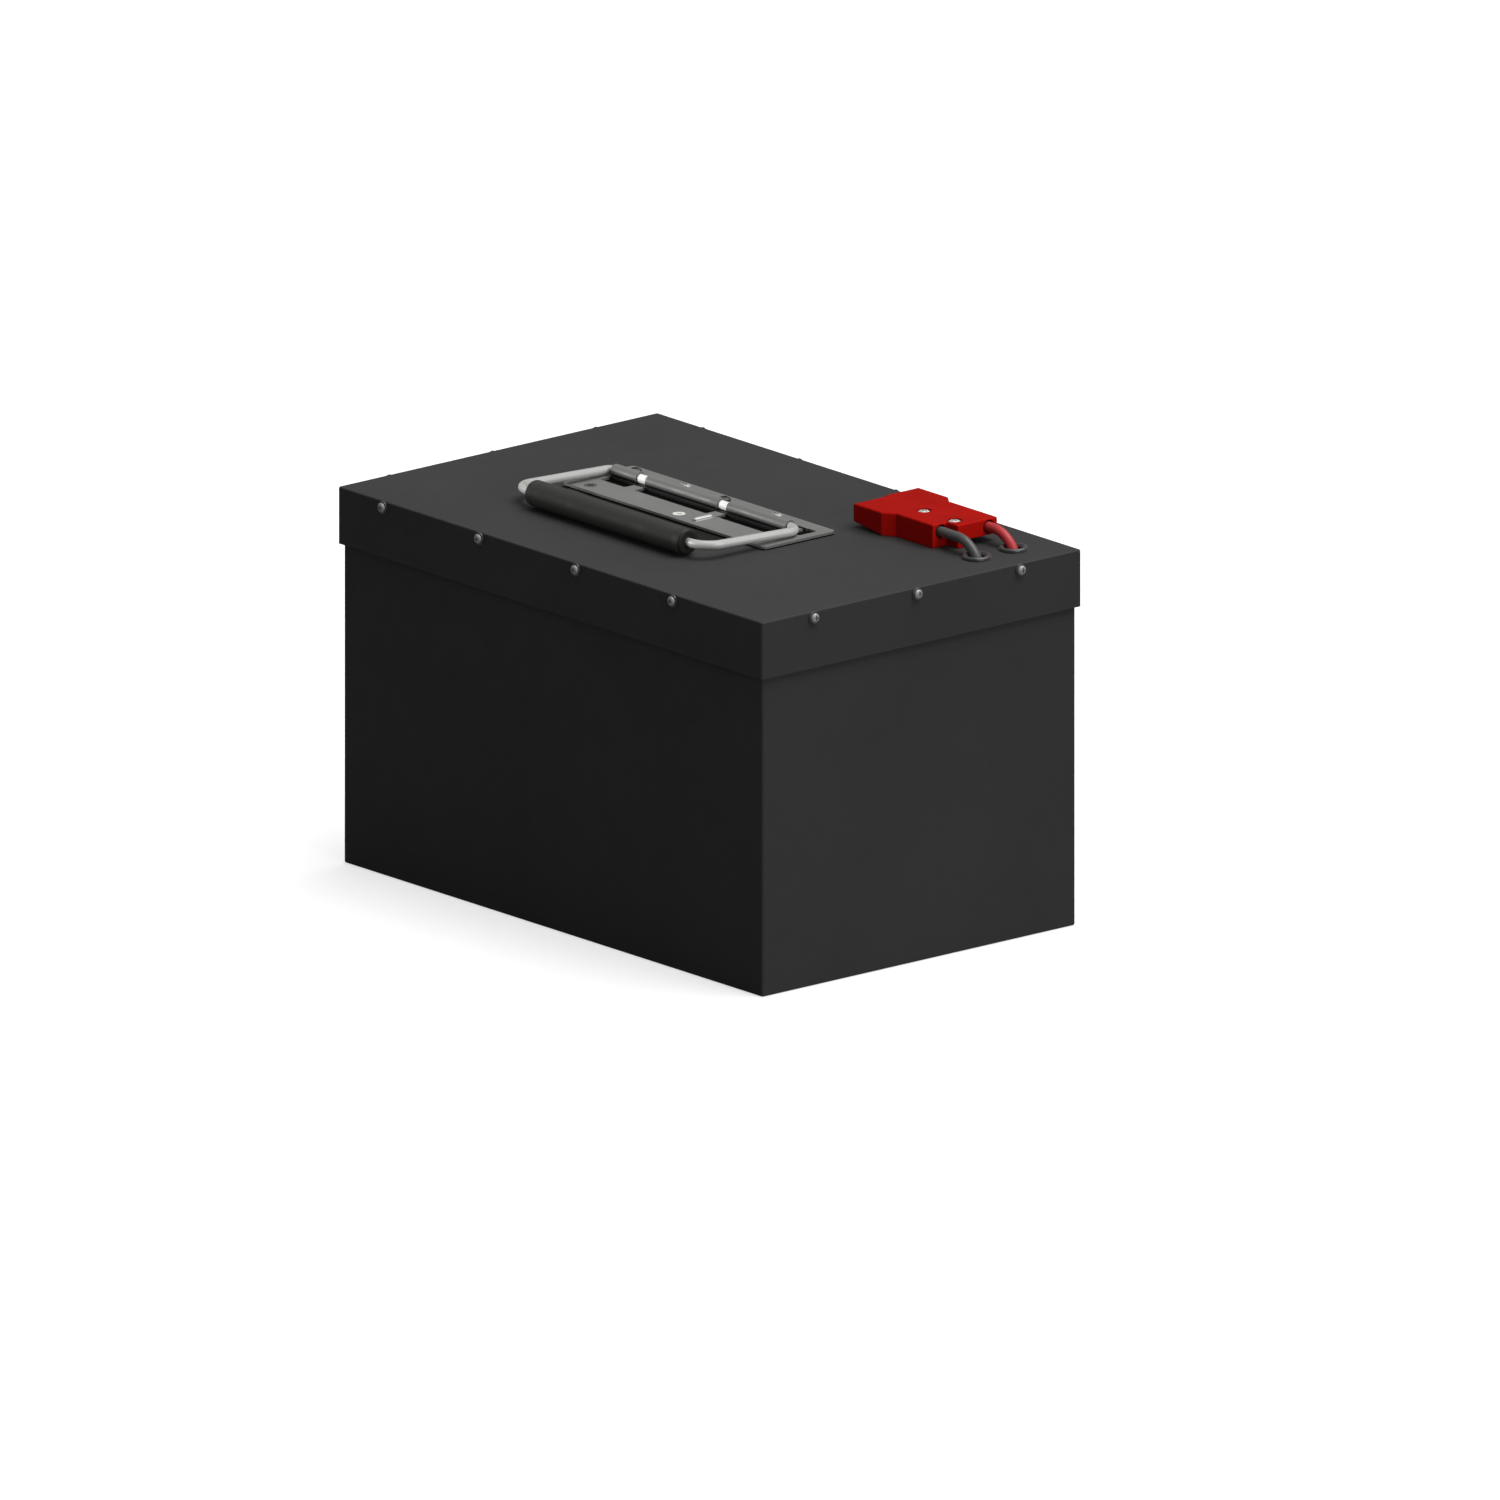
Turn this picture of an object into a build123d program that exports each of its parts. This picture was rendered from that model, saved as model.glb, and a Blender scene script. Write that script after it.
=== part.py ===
import os
from build123d import *

os.makedirs("parts", exist_ok=True)

# Outer envelope. X is the length, Y the width, Z is up from the surface it stands on.
length = 400
width = 255
height = 238
sheet = 2.0
skirt_depth = 36
corner_radius = 1.5
edge_radius = 1.0
fit_gap = 0.5
rim_z = 235.0

case_length = length - 2 * (sheet + fit_gap)
case_width = width - 2 * (sheet + fit_gap)
wall_x = case_length / 2 - sheet
wall_y = case_width / 2 - sheet
lid_under = height - sheet

# Lid screws: M3 pan heads on black sealing washers, into round nuts pressed in the case wall.
screw_z = 233.9
long_side_screws = [-157.3, -66.3, 24.9, 116.1]
short_side_screws = [-86.3, -3.8, 78.7]
m3_shank = 1.49
m3_bore = 1.52
m3_clear = 1.7
washer_radius = 4.0
washer_thick = 1.0
m3_head_radius = 3.0
m3_head_height = 2.0
nut_height = 2.4
nut_radius = 2.1

# Folding handle.
rod_radius = 2.8
hinge_bore = 2.85
knuckle_radius = 4.1
hinge_y = 11.9
hinge_z = height + 5.6
leg_left = -107.2
leg_right = 72.0
grip_y = -65.5
grip_z = height + 9.0
grip_radius = 8.3
grip_left = -88.2
grip_right = 57.6
bail_corner = 13.0
elbow_left = 4.0
elbow_right = 10.0
pad_thick = 0.8
plate_thick = 1.6
plate_left = -113.2
plate_right = 78.0
plate_near = -22.3
plate_far = 34.9
plate_corner = 3.0
plate_top = height + pad_thick + plate_thick
knuckles = [(-103.0, -79.4), (-70.4, -2.8), (6.2, 61.5)]
# Each knuckle is a tab of the plate rolled over the rod, which leaves an opening on its near side.
opening_near = -0.8
tab_opening = 8.6
far_screws = [(-101.5, 26.5), (-55.0, 26.5), (-17.4, 26.5), (31.1, 26.5)]
near_screws = [(-96.5, -13.5), (-13.0, -13.5)]
m4_shank = 2.0
m4_clear = 2.25
backing_thick = 2.0

# Power connector.
conn_y = 80.75
conn_height = 14.8
pole_offset = 14.6
pole_z = height + 9.6
pole_bore = 4.3
conn_screws = [111.2, 139.9]
conn_screw_y = 77.0
counterbore_z = height + 12.5
cavity_low = height + 5.0
cavity_high = height + 12.8
cable_radius = 3.1
cable_bend = 22.0
cable_drop_x = 177.5
grommet_x = 174.0

# Cell block: two columns of eight prismatic cells.
cell_x = 135.3
cell_y = 29.3
cell_z = 185.3
cell_gap = 0.5
rows = 8
pitch = cell_y + cell_gap
divider = 2.0
floor_pad = 4.0
strap = 0.8
end_plate = 3.0
cell_base = sheet + floor_pad
cell_top = cell_base + cell_z
block_left = -wall_x + 0.2 + strap
column_a = block_left + cell_x / 2
column_b = column_a + cell_x + divider
block_right = column_b + cell_x / 2
block_half_y = (rows * cell_y + (rows - 1) * cell_gap) / 2
post_offset = 45.0
post_top = cell_top + 3.0
bar_thick = 2.0
stud_radius = 2.98
stud_hole = 3.05

# Electronics bay.
bracket_x = 84.0
board_x = 94.0
board_thick = 1.6
board_face = board_x + board_thick
stud_shoulder = 101.5
lug_thick = 2.0
lug_barrel = 4.3
lug_length = 24.0
bms_negative = (-54.0, 150.0)
bms_pack_out = (-20.0, 150.0)
fuse_y = 60.0
fuse_in_z = 140.0
fuse_out_z = 190.0
fuse_blade = 1.5


def row_y(row):
    return (row - (rows - 1) / 2) * pitch


def save(part, name):
    part.label = name
    export_step(part, "parts/" + name + ".step")


def group(solids, name):
    save(Compound(children=solids), name)


def placed(shape, *places):
    copies = []
    for place in places:
        copies.append(place * shape)
    return copies


def turned(x, y, z, rx=0.0, ry=0.0, rz=0.0):
    return Pos(x, y, z) * Rot(rx, ry, rz)


# ---------------------------------------------------------------- case
with BuildPart() as case:
    with BuildSketch():
        RectangleRounded(case_length, case_width, corner_radius)
    extrude(amount=rim_z)
    fillet(case.faces().sort_by(Axis.Z)[0].edges(), edge_radius)
    with BuildSketch(Plane.XY.offset(sheet)):
        Rectangle(2 * wall_x, 2 * wall_y)
    extrude(amount=rim_z, mode=Mode.SUBTRACT)
    with BuildSketch(Plane.XZ.offset(-width)):
        with Locations([(x, screw_z) for x in long_side_screws]):
            Circle(m3_clear)
    extrude(amount=2 * width, mode=Mode.SUBTRACT)
    with BuildSketch(Plane.YZ.offset(-length)):
        with Locations([(y, screw_z) for y in short_side_screws]):
            Circle(m3_clear)
    extrude(amount=2 * length, mode=Mode.SUBTRACT)
save(case.part, "case")

# ---------------------------------------------------------------- lid
lid_holes = [(x, y) for x, y in far_screws + near_screws]
lid_holes += [(x, conn_screw_y) for x in conn_screws]
with BuildPart() as lid:
    with BuildSketch(Plane.XY.offset(height - skirt_depth)):
        RectangleRounded(length, width, corner_radius)
    extrude(amount=skirt_depth)
    fillet(lid.faces().sort_by(Axis.Z)[-1].edges(), edge_radius)
    with BuildSketch(Plane.XY.offset(height - skirt_depth)):
        Rectangle(length - 2 * sheet, width - 2 * sheet)
    extrude(amount=skirt_depth - sheet, mode=Mode.SUBTRACT)
    with BuildSketch(Plane.XY.offset(height)):
        with Locations(lid_holes):
            Circle(m4_clear)
        with Locations((grommet_x, conn_y - pole_offset), (grommet_x, conn_y + pole_offset)):
            Circle(7.0)
    extrude(amount=-2 * sheet, mode=Mode.SUBTRACT)
    with BuildSketch(Plane.XZ.offset(-width)):
        with Locations([(x, screw_z) for x in long_side_screws]):
            Circle(m3_clear)
    extrude(amount=2 * width, mode=Mode.SUBTRACT)
    with BuildSketch(Plane.YZ.offset(-length)):
        with Locations([(y, screw_z) for y in short_side_screws]):
            Circle(m3_clear)
    extrude(amount=2 * length, mode=Mode.SUBTRACT)
save(lid.part, "lid")

# ---------------------------------------------------------------- rim gasket
with BuildPart() as lid_gasket:
    with BuildSketch(Plane.XY.offset(rim_z)):
        RectangleRounded(case_length, case_width, corner_radius)
        Rectangle(2 * wall_x, 2 * wall_y, mode=Mode.SUBTRACT)
    extrude(amount=lid_under - rim_z)
    with BuildSketch(Plane.XZ.offset(-width)):
        with Locations([(x, screw_z) for x in long_side_screws]):
            Circle(m3_clear)
    extrude(amount=2 * width, mode=Mode.SUBTRACT)
    with BuildSketch(Plane.YZ.offset(-length)):
        with Locations([(y, screw_z) for y in short_side_screws]):
            Circle(m3_clear)
    extrude(amount=2 * length, mode=Mode.SUBTRACT)
save(lid_gasket.part, "lid_gasket")

# ---------------------------------------------------------------- lid screws, washers and nuts
# Each is drawn pointing along +Z with its seat at the origin, then turned to its wall.
with BuildPart() as m3_screw:
    with BuildSketch(Plane.XZ):
        with BuildLine():
            Polyline(
                (1.0, m3_head_height),
                (0, m3_head_height),
                (0, -8.4),
                (m3_shank - 0.4, -8.4),
                (m3_shank, -8.0),
                (m3_shank, 0),
                (m3_head_radius, 0),
                (m3_head_radius, 0.8),
            )
            ThreePointArc((m3_head_radius, 0.8), (2.15, 1.66), (1.0, m3_head_height))
        make_face()
    revolve(axis=Axis.Z)
    with BuildSketch(Plane.XY.offset(m3_head_height)):
        Rectangle(3.2, 0.8)
        Rectangle(0.8, 3.2)
    extrude(amount=-1.1, mode=Mode.SUBTRACT)

with BuildPart() as m3_washer:
    with BuildSketch():
        Circle(washer_radius)
        Circle(m3_clear, mode=Mode.SUBTRACT)
    extrude(amount=washer_thick)
    fillet(m3_washer.edges().filter_by(GeomType.CIRCLE).sort_by(SortBy.RADIUS)[-1], 0.3)

with BuildPart() as m3_nut:
    with BuildSketch():
        Circle(nut_radius)
        Circle(m3_bore, mode=Mode.SUBTRACT)
    extrude(amount=nut_height)


def around(shape, reach_x, reach_y):
    solids = []
    for x in long_side_screws:
        solids += placed(shape, turned(x, -reach_y, screw_z, rx=90))
        solids += placed(shape, turned(x, reach_y, screw_z, rx=-90))
    for y in short_side_screws:
        solids += placed(shape, turned(-reach_x, y, screw_z, ry=-90) * Rot(0, 0, 90))
        solids += placed(shape, turned(reach_x, y, screw_z, ry=90) * Rot(0, 0, 90))
    return solids


group(around(m3_screw.part, length / 2 + washer_thick, width / 2 + washer_thick), "lid_screws")
group(around(m3_washer.part, length / 2, width / 2), "lid_washers")
group(around(m3_nut.part, wall_x - nut_height, wall_y - nut_height), "lid_nuts")

# ---------------------------------------------------------------- handle plate with rolled knuckles
plate_mid_x = (plate_left + plate_right) / 2
plate_mid_y = (plate_near + plate_far) / 2
plate_size = (plate_right - plate_left, plate_far - plate_near)
with BuildPart() as handle_plate:
    with BuildSketch(Plane.XY.offset(height + pad_thick)):
        with Locations((plate_mid_x, plate_mid_y)):
            RectangleRounded(plate_size[0], plate_size[1], plate_corner)
        with Locations(far_screws):
            Circle(m4_clear, mode=Mode.SUBTRACT)
        with Locations(near_screws):
            Circle(m4_clear, mode=Mode.SUBTRACT)
        with Locations((66.8, 18.0)):
            RectangleRounded(9.6, 14, 1.5, mode=Mode.SUBTRACT)
        with Locations((54, 23.2)):
            SlotOverall(18, 3, mode=Mode.SUBTRACT)
        for start, end in knuckles:
            with Locations(((start + end) / 2, tab_opening / 2 + opening_near)):
                RectangleRounded(end - start, tab_opening, 1.5, mode=Mode.SUBTRACT)
    extrude(amount=plate_thick)
    for start, end in knuckles:
        with BuildSketch(Plane.YZ.offset(start)):
            with Locations((hinge_y, hinge_z)):
                Circle(knuckle_radius)
            with Locations((hinge_y, height + pad_thick + 2.4)):
                Rectangle(6.4, 4.8)
        extrude(amount=end - start)
    with BuildSketch(Plane.YZ.offset(plate_left - 5)):
        with Locations((hinge_y, hinge_z)):
            Circle(hinge_bore)
    extrude(amount=plate_size[0] + 10, mode=Mode.SUBTRACT)
    with BuildSketch(Plane.XY.offset(plate_top)):
        with Locations((6.0, -10.5)):
            SlotOverall(15, 4, rotation=90)
    extrude(amount=1.2)
    with Locations([(x, y, plate_top) for x, y in near_screws]):
        CounterSinkHole(m4_clear, 4.1, depth=plate_thick, counter_sink_angle=90)
save(handle_plate.part, "handle_plate")

with BuildPart() as handle_pad:
    with BuildSketch(Plane.XY.offset(height)):
        with Locations((plate_mid_x, plate_mid_y)):
            RectangleRounded(plate_size[0], plate_size[1], plate_corner)
        with Locations(far_screws):
            Circle(m4_clear, mode=Mode.SUBTRACT)
        with Locations(near_screws):
            Circle(m4_clear + 0.5, mode=Mode.SUBTRACT)
    extrude(amount=pad_thick)
save(handle_pad.part, "handle_pad")

with BuildPart() as handle_backing_plate:
    with BuildSketch(Plane.XY.offset(lid_under - backing_thick)):
        with Locations((plate_mid_x, plate_mid_y)):
            RectangleRounded(plate_size[0], plate_size[1], plate_corner)
        with Locations(far_screws + near_screws):
            Circle(m4_clear, mode=Mode.SUBTRACT)
    extrude(amount=backing_thick)
save(handle_backing_plate.part, "handle_backing_plate")

# ---------------------------------------------------------------- bail and grip, both in the plane of the bail
bail_reach = ((grip_y - hinge_y) ** 2 + (grip_z - hinge_z) ** 2) ** 0.5
bail_plane = Plane(
    origin=(0, hinge_y, hinge_z),
    x_dir=(1, 0, 0),
    z_dir=(0, (grip_z - hinge_z) / bail_reach, -(grip_y - hinge_y) / bail_reach),
)
bail_mid = (leg_left + leg_right) / 2
with BuildPart() as handle_bail:
    with BuildLine(bail_plane):
        FilletPolyline(
            (bail_mid - 0.5, -bail_reach),
            (leg_left, -bail_reach),
            (leg_left, 0),
            (leg_right, 0),
            (leg_right, -bail_reach),
            (bail_mid + 0.5, -bail_reach),
            radius=[bail_corner, elbow_left, elbow_right, bail_corner],
        )
    with BuildSketch(Plane(origin=(bail_mid - 0.5, grip_y, grip_z), z_dir=(-1, 0, 0))):
        Circle(rod_radius)
    sweep()
save(handle_bail.part, "handle_bail")

with BuildPart() as handle_grip:
    with BuildSketch(Plane(origin=(grip_left, grip_y, grip_z), x_dir=(0, 1, 0), z_dir=(1, 0, 0))):
        Circle(grip_radius)
    extrude(amount=grip_right - grip_left)
    fillet(handle_grip.edges(), 2.5)
    with BuildSketch(Plane(origin=(grip_left, grip_y, grip_z), x_dir=(0, 1, 0), z_dir=(1, 0, 0))):
        Circle(rod_radius + 0.02)
    extrude(amount=grip_right - grip_left, mode=Mode.SUBTRACT)
save(handle_grip.part, "handle_grip")

# ---------------------------------------------------------------- M4 screws and lock nuts through the lid
with BuildPart() as pan_screw:
    with BuildSketch(Plane.XZ):
        with BuildLine():
            Polyline((0.8, 2.6), (0, 2.6), (0, -14.4), (1.6, -14.4), (m4_shank, -14), (m4_shank, 0), (4, 0), (4, 1.2))
            ThreePointArc((4.0, 1.2), (2.6, 2.2), (0.8, 2.6))
        make_face()
    revolve(axis=Axis.Z)
    with BuildSketch(Plane.XY.offset(2.6)):
        Rectangle(4.6, 1.0)
        Rectangle(1.0, 4.6)
    extrude(amount=-1.5, mode=Mode.SUBTRACT)
group(placed(pan_screw.part, *[Pos(x, y, plate_top) for x, y in far_screws]), "handle_screws")

with BuildPart() as flat_screw:
    with BuildSketch(Plane.XZ):
        with BuildLine():
            Polyline((0, 0), (0, -14.4), (1.6, -14.4), (m4_shank, -14.0), (m4_shank, -2.0), (4.0, 0), (0, 0))
        make_face()
    revolve(axis=Axis.Z)
    with BuildSketch():
        Rectangle(4.4, 1.0)
        Rectangle(1.0, 4.4)
    extrude(amount=-1.3, mode=Mode.SUBTRACT)
group(placed(flat_screw.part, *[Pos(x, y, plate_top) for x, y in near_screws]), "handle_flat_screws")

with BuildPart() as long_screw:
    with BuildSketch(Plane.XZ):
        with BuildLine():
            Polyline((0.8, 2.5), (0, 2.5), (0, -20), (1.6, -20), (m4_shank, -19.6), (m4_shank, 0), (4, 0), (4, 1.2))
            ThreePointArc((4.0, 1.2), (2.6, 2.12), (0.8, 2.5))
        make_face()
    revolve(axis=Axis.Z)
    with BuildSketch(Plane.XY.offset(2.5)):
        Rectangle(4.6, 1.0)
        Rectangle(1.0, 4.6)
    extrude(amount=-1.5, mode=Mode.SUBTRACT)
group(placed(long_screw.part, *[Pos(x, conn_screw_y, counterbore_z) for x in conn_screws]), "connector_screws")

with BuildPart() as lock_nut:
    with BuildSketch():
        RegularPolygon(3.5, 6, major_radius=False)
    extrude(amount=3.4)
    with BuildSketch():
        Circle(3.1)
    extrude(amount=5.0)
    with BuildSketch():
        Circle(m4_shank + 0.02)
    extrude(amount=5.0, mode=Mode.SUBTRACT)
nut_places = [turned(x, y, lid_under - backing_thick, rx=180) for x, y in far_screws + near_screws]
nut_places += [turned(x, conn_screw_y, lid_under, rx=180) for x in conn_screws]
group(placed(lock_nut.part, *nut_places), "lock_nuts")

# ---------------------------------------------------------------- connector housing
near_pole = conn_y - pole_offset
far_pole = conn_y + pole_offset
head_half = 26.75
rear_half = 21.25
rear_step_y = 70.6
boss_radius = 4.6
with BuildPart() as connector_housing:
    with BuildSketch(Plane.XY.offset(height)):
        with BuildLine():
            Polyline(
                (72, conn_y - head_half),
                (98, conn_y - head_half),
                (105.5, conn_y - rear_half),
                (140, conn_y - rear_half),
                (140, rear_step_y),
                (150.5, rear_step_y),
                (150.5, conn_y + rear_half),
                (105.5, conn_y + rear_half),
                (98, conn_y + head_half),
                (70, conn_y + head_half),
                (70, conn_y),
                (72, conn_y),
                close=True,
            )
        make_face()
    extrude(amount=conn_height)
    chamfer(connector_housing.faces().sort_by(Axis.Z)[-1].edges(), 0.7)
    with BuildSketch(Plane.XZ.offset(-(conn_y + head_half + 1))):
        with BuildLine():
            Polyline((69, height - 1), (101, height - 1), (101, height), (69, height + 4.2), (69, height - 1))
        make_face()
    extrude(amount=2 * head_half + 2, mode=Mode.SUBTRACT)
    with Locations((137.5, conn_y + 8, height)):
        Box(28, 26.6, 9, mode=Mode.SUBTRACT)
    with BuildSketch(Plane.XY.offset(height)):
        with Locations((conn_screws[1], conn_screw_y)):
            Circle(boss_radius)
    extrude(amount=6)
    with BuildSketch(Plane.YZ.offset(69)):
        with Locations((near_pole, (cavity_low + cavity_high) / 2), (far_pole, (cavity_low + cavity_high) / 2)):
            Rectangle(18, cavity_high - cavity_low)
    extrude(amount=27, mode=Mode.SUBTRACT)
    with BuildSketch(Plane.YZ.offset(90)):
        with Locations((near_pole, pole_z), (far_pole, pole_z)):
            Circle(pole_bore)
    extrude(amount=50.5, mode=Mode.SUBTRACT)
    with BuildSketch(Plane.YZ.offset(139)):
        with Locations((far_pole, pole_z)):
            Circle(pole_bore)
    extrude(amount=20, mode=Mode.SUBTRACT)
    with BuildSketch(Plane.XY.offset(height + conn_height)):
        with Locations([(x, conn_screw_y) for x in conn_screws]):
            Circle(4.6)
    extrude(amount=-(height + conn_height - counterbore_z), mode=Mode.SUBTRACT)
    with BuildSketch(Plane.XY.offset(height + conn_height)):
        with Locations([(x, conn_screw_y) for x in conn_screws]):
            Circle(m4_clear)
    extrude(amount=-conn_height, mode=Mode.SUBTRACT)
save(connector_housing.part, "connector_housing")

# A silver-plated contact: crimp barrel at the rear, flat blade at the front, leaf spring under it.
with BuildPart() as contact:
    with BuildSketch(Plane.YZ.offset(91)):
        with Locations((0, pole_z)):
            Circle(4.2)
    extrude(amount=41)
    with BuildSketch(Plane.XY.offset(cavity_low + 0.6)):
        with Locations((87.25, 0)):
            Rectangle(16.5, 13)
    extrude(amount=3.0)
    with BuildSketch(Plane.YZ.offset(114)):
        with Locations((0, pole_z)):
            Circle(cable_radius)
    extrude(amount=20, mode=Mode.SUBTRACT)
group(placed(contact.part, Pos(0, near_pole, 0), Pos(0, far_pole, 0)), "connector_contacts")

with BuildPart() as leaf_spring:
    with BuildSketch(Plane.XY.offset(cavity_low)):
        with Locations((84.5, 0)):
            Rectangle(12, 10)
    extrude(amount=0.6)
group(placed(leaf_spring.part, Pos(0, near_pole, 0), Pos(0, far_pole, 0)), "connector_springs")

# ---------------------------------------------------------------- grommets
with BuildPart() as grommet:
    with BuildSketch(Plane.XZ):
        with BuildLine():
            Polyline(
                (6.6, 2.2),
                (5.4, 0.9),
                (5.4, -3.4),
                (8.6, -3.4),
                (8.6, -2.0),
                (6.95, -2.0),
                (6.95, 0),
                (9.0, 0),
                (9.0, 0.9),
            )
            ThreePointArc((9.0, 0.9), (8.2, 2.3), (6.6, 2.2))
        make_face()
    revolve(axis=Axis.Z)
group(placed(grommet.part, Pos(grommet_x, near_pole, height), Pos(grommet_x, far_pole, height)), "cable_grommets")

# ---------------------------------------------------------------- cables
cable_lengths = {}


def cable(name, points, radii):
    with BuildPart() as tube:
        with BuildLine() as route:
            FilletPolyline(*points, radius=radii)
        start = route.wires()[0] @ 0
        heading = route.wires()[0] % 0
        with BuildSketch(Plane(origin=start, z_dir=heading)):
            Circle(cable_radius)
        sweep()
    cable_lengths[name] = (route.wires()[0].length, radii)
    save(tube.part, name)


lug_x = stud_shoulder + lug_barrel
fuse_lug_x = lug_x + fuse_blade
lug_z = post_top + lug_barrel
post_x = column_b + post_offset
cable(
    "positive_cable",
    [
        (115, far_pole, pole_z),
        (cable_drop_x, far_pole, pole_z),
        (cable_drop_x, far_pole, fuse_out_z),
        (fuse_lug_x, fuse_y + lug_length + 22, fuse_out_z),
        (fuse_lug_x, fuse_y + 12, fuse_out_z),
    ],
    [cable_bend, 22, 18],
)
cable(
    "negative_cable",
    [
        (115, near_pole, pole_z),
        (cable_drop_x, near_pole, pole_z),
        (cable_drop_x, near_pole, bms_pack_out[1]),
        (lug_x, bms_pack_out[0] + lug_length + 31, bms_pack_out[1]),
        (lug_x, bms_pack_out[0] + 12, bms_pack_out[1]),
    ],
    [cable_bend, 28, 28],
)
cable(
    "positive_lead",
    [
        (post_x + 12, row_y(rows - 1), lug_z),
        (fuse_lug_x, row_y(rows - 1), lug_z),
        (fuse_lug_x, row_y(rows - 1), fuse_in_z),
        (fuse_lug_x, fuse_y + 12, fuse_in_z),
    ],
    [20, 18],
)
cable(
    "negative_lead",
    [
        (post_x + 12, row_y(0), lug_z),
        (lug_x, row_y(0), lug_z),
        (lug_x, row_y(0), bms_negative[1]),
        (lug_x, bms_negative[0] - 12, bms_negative[1]),
    ],
    [20, 18],
)

# Ring lug: tongue flat on the stud, crimp barrel along +X, seat at the origin.
with BuildPart() as lug:
    with BuildSketch():
        Circle(6.5)
        with Locations((6, 0)):
            Rectangle(12, 9)
        Circle(stud_hole, mode=Mode.SUBTRACT)
    extrude(amount=lug_thick)
    with BuildSketch(Plane.YZ.offset(10)):
        with Locations((0, lug_barrel)):
            Circle(lug_barrel)
    extrude(amount=lug_length - 10)
    with BuildSketch(Plane.YZ.offset(12)):
        with Locations((0, lug_barrel)):
            Circle(cable_radius)
    extrude(amount=lug_length, mode=Mode.SUBTRACT)
lug_places = [
    Pos(post_x, row_y(0), post_top),
    Pos(post_x, row_y(rows - 1), post_top),
    Plane(
        origin=(stud_shoulder, bms_negative[0], bms_negative[1]), x_dir=(0, -1, 0), z_dir=(1, 0, 0)
    ).location,
    Plane(
        origin=(stud_shoulder, bms_pack_out[0], bms_pack_out[1]), x_dir=(0, 1, 0), z_dir=(1, 0, 0)
    ).location,
    Plane(origin=(stud_shoulder + fuse_blade, fuse_y, fuse_in_z), x_dir=(0, 1, 0), z_dir=(1, 0, 0)).location,
    Plane(origin=(stud_shoulder + fuse_blade, fuse_y, fuse_out_z), x_dir=(0, 1, 0), z_dir=(1, 0, 0)).location,
]
group(placed(lug.part, *lug_places), "cable_lugs")

# ---------------------------------------------------------------- cells
with BuildPart() as cell:
    with BuildSketch():
        RectangleRounded(cell_x, cell_y, 2.5)
    extrude(amount=cell_z)
    chamfer(cell.faces().sort_by(Axis.Z)[-1].edges(), 0.8)
    with BuildSketch(Plane.XY.offset(cell_z)):
        SlotOverall(22, 12)
    extrude(amount=-0.8, mode=Mode.SUBTRACT)
for number in range(2 * rows):
    column = column_a if number < rows else column_b
    place = Pos(column, row_y(number % rows), cell_base)
    save(place * cell.part, "cell_" + str(number + 1).zfill(2))

posts = []
for row in range(rows):
    for column in (column_a, column_b):
        posts.append((column - post_offset, row_y(row)))
        posts.append((column + post_offset, row_y(row)))

with BuildPart() as post:
    with BuildSketch():
        Circle(7)
    extrude(amount=3.0)
    with BuildSketch(Plane.XY.offset(3.0)):
        Circle(stud_radius)
    extrude(amount=9.5)
    chamfer(post.faces().sort_by(Axis.Z)[-1].edges(), 0.6)
group(placed(post.part, *[Pos(x, y, cell_top) for x, y in posts]), "cell_terminals")


def link(span):
    with BuildPart() as bar:
        with BuildSketch():
            RectangleRounded(span + 18, 18, 3)
            with Locations((-span / 2, 0), (span / 2, 0)):
                Circle(stud_hole, mode=Mode.SUBTRACT)
        extrude(amount=bar_thick)
        with BuildSketch(Plane.XY.offset(bar_thick)):
            Rectangle(span - 20 if span > 40 else 6, 5)
        extrude(amount=0.6)
    return bar.part


inner_a = column_a + post_offset
inner_b = column_b - post_offset
cross = link(inner_b - inner_a)
along = link(pitch)
bars = placed(cross, *[Pos((inner_a + inner_b) / 2, row_y(row), post_top) for row in range(rows)])
for row in range(0, rows, 2):
    bars += placed(along, turned(column_a - post_offset, row_y(row) + pitch / 2, post_top, rz=90))
for row in range(1, rows - 1, 2):
    bars += placed(along, turned(post_x, row_y(row) + pitch / 2, post_top, rz=90))
group(bars, "busbars")

with BuildPart() as flange_nut:
    with BuildSketch():
        Circle(6.8)
    extrude(amount=1.2)
    with BuildSketch(Plane.XY.offset(1.2)):
        RegularPolygon(5, 6, major_radius=False)
    extrude(amount=4.6)
    with BuildSketch():
        Circle(stud_radius + 0.02)
    extrude(amount=5.8, mode=Mode.SUBTRACT)
nut_seats = [Pos(x, y, post_top + bar_thick) for x, y in posts]
wall_seat = stud_shoulder + lug_thick
nut_seats.append(turned(wall_seat, bms_negative[0], bms_negative[1], ry=90))
nut_seats.append(turned(wall_seat, bms_pack_out[0], bms_pack_out[1], ry=90))
nut_seats.append(turned(wall_seat + fuse_blade, fuse_y, fuse_in_z, ry=90))
nut_seats.append(turned(wall_seat + fuse_blade, fuse_y, fuse_out_z, ry=90))
group(placed(flange_nut.part, *nut_seats), "flange_nuts")

with BuildPart() as spacer:
    Box(cell_x, cell_gap, cell_z - 6, align=(Align.CENTER, Align.CENTER, Align.MIN))
spacer_places = []
for row in range(rows - 1):
    for column in (column_a, column_b):
        spacer_places.append(Pos(column, row_y(row) + pitch / 2, cell_base + 1))
group(placed(spacer.part, *spacer_places), "cell_spacers")

block_x = block_right - block_left
block_mid = (block_right + block_left) / 2
with BuildPart() as column_divider:
    with Locations((column_a + cell_x / 2 + divider / 2, 0, cell_base)):
        Box(divider, 2 * block_half_y, cell_z - 4, align=(Align.CENTER, Align.CENTER, Align.MIN))
save(column_divider.part, "column_divider")

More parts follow.
